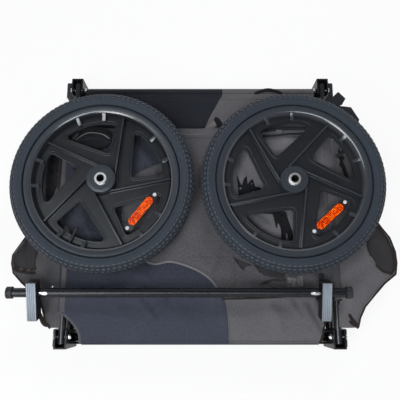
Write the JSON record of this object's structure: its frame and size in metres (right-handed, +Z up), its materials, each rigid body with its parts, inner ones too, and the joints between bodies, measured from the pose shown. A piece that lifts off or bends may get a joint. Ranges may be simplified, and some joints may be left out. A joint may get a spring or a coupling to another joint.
{
  "type": "folded dog bike trailer",
  "caption": "Dog bike trailer folded flat, its wheels and axle laid on top; cloth side walls hinge up from a tube floor frame and the wheels spin.",
  "frame": {"origin": "centre of the floor board's underside, which lies on the ground", "axes": "+X runs along the trailer to the right of the picture, +Y across it away from the viewer, +Z up"},
  "size_m": [0.824, 0.6, 0.1503],
  "materials": {
    "black_paint": "gloss black paint",
    "black_plastic": "satin",
    "tyre": "matte",
    "grey_cloth": "woven polyester",
    "black_cloth": "woven polyester",
    "webbing": "woven webbing",
    "floor_board": "dark coated board",
    "chrome": "polished",
    "aluminium": "brushed",
    "amber_lens": "clear amber, gloss"
  },
  "bodies": {
    "base": {"floor_board": "floor_board", "floor_mat": "black_cloth", "near_rail": "black_paint", "far_rail": "black_paint", "left_side_rail": "black_paint", "right_side_rail": "black_paint", "near_sill": "black_cloth", "far_sill": "black_cloth", "near_roof_bar": "black_paint", "far_roof_bar": "black_paint", "near_left_bracket": "black_paint", "near_left_foot": "black_plastic", "near_left_hinge_bolt": "chrome", "near_left_hinge_nut": "chrome", "near_right_bracket": "black_paint", "near_right_foot": "black_plastic", "near_right_hinge_bolt": "chrome", "near_right_hinge_nut": "chrome", "far_left_bracket": "black_paint", "far_left_foot": "black_plastic", "far_left_hinge_bolt": "chrome", "far_left_hinge_nut": "chrome", "far_right_bracket": "black_paint", "far_right_foot": "black_plastic", "far_right_hinge_bolt": "chrome", "far_right_hinge_nut": "chrome"},
    "near_side": {"near_frame": "black_paint", "near_cover_black": "black_cloth", "near_cover_grey": "grey_cloth"},
    "far_side": {"far_frame": "black_paint", "far_cover_black": "black_cloth", "far_cover_grey": "grey_cloth", "closing_strap": "webbing", "strap_tail": "webbing"},
    "left_flap": {"left_end_flap": "grey_cloth", "left_end_flap_window": "black_cloth"},
    "right_flap": {"right_end_flap": "grey_cloth", "right_end_flap_window": "black_cloth"},
    "axle": {"axle_tube": "black_paint", "left_axle_collar": "black_paint", "right_axle_collar": "black_paint", "left_axle_block": "aluminium", "right_axle_block": "aluminium"},
    "left_wheel_hub": {"left_hub_sleeve": "aluminium", "left_inner_bearing": "chrome", "left_outer_bearing": "chrome"},
    "left_wheel": {"left_rim": "black_plastic", "left_tyre": "tyre", "left_valve": "black_plastic", "left_reflector_base": "black_plastic", "left_reflector_lens": "amber_lens"},
    "right_wheel_hub": {"right_hub_sleeve": "aluminium", "right_inner_bearing": "chrome", "right_outer_bearing": "chrome"},
    "right_wheel": {"right_rim": "black_plastic", "right_tyre": "tyre", "right_valve": "black_plastic", "right_reflector_base": "black_plastic", "right_reflector_lens": "amber_lens"}
  },
  "joints": [
    {"name": "near_side_fold", "type": "hinge", "parent": "base", "child": "near_side", "pos_m": [0, -0.276, 0.08], "axis": [1, 0, 0], "range_deg": [0, 90], "deforming": ["near_cover_black", "near_cover_grey"]},
    {"name": "far_side_fold", "type": "hinge", "parent": "base", "child": "far_side", "pos_m": [0, 0.276, 0.05], "axis": [-1, 0, 0], "range_deg": [0, 90]},
    {"name": "left_flap_fold", "type": "hinge", "parent": "near_side", "child": "left_flap", "pos_m": [-0.2825, 0, 0.08], "axis": [0, -1, 0], "range_deg": [0, 90]},
    {"name": "right_flap_fold", "type": "hinge", "parent": "near_side", "child": "right_flap", "pos_m": [0.2825, 0, 0.08], "axis": [0, 1, 0], "range_deg": [0, 90]},
    {"name": "axle_lift", "type": "slide", "parent": "base", "child": "axle", "axis": [0, 0, 1], "range_m": [0, 0.79]},
    {"name": "left_wheel_lift", "type": "slide", "parent": "base", "child": "left_wheel_hub", "axis": [0, 0, 1], "range_m": [0, 0.79]},
    {"name": "left_wheel_spin", "type": "hinge", "parent": "left_wheel_hub", "child": "left_wheel", "pos_m": [-0.20325, 0.0403, 0.1235], "axis": [0, 0, 1], "continuous": true},
    {"name": "right_wheel_lift", "type": "slide", "parent": "base", "child": "right_wheel_hub", "axis": [0, 0, 1], "range_m": [0, 0.79]},
    {"name": "right_wheel_spin", "type": "hinge", "parent": "right_wheel_hub", "child": "right_wheel", "pos_m": [0.19425, 0.0403, 0.1235], "axis": [0, 0, 1], "continuous": true}
  ],
  "couplings": [
    {"joint": "far_side_fold", "follows": "near_side_fold", "ratio": 1},
    {"joint": "left_flap_fold", "follows": "near_side_fold", "ratio": 1},
    {"joint": "right_flap_fold", "follows": "near_side_fold", "ratio": 1},
    {"joint": "axle_lift", "follows": "near_side_fold", "m_per_rad": 0.5},
    {"joint": "left_wheel_lift", "follows": "near_side_fold", "m_per_rad": 0.5},
    {"joint": "right_wheel_lift", "follows": "near_side_fold", "m_per_rad": 0.5}
  ]
}
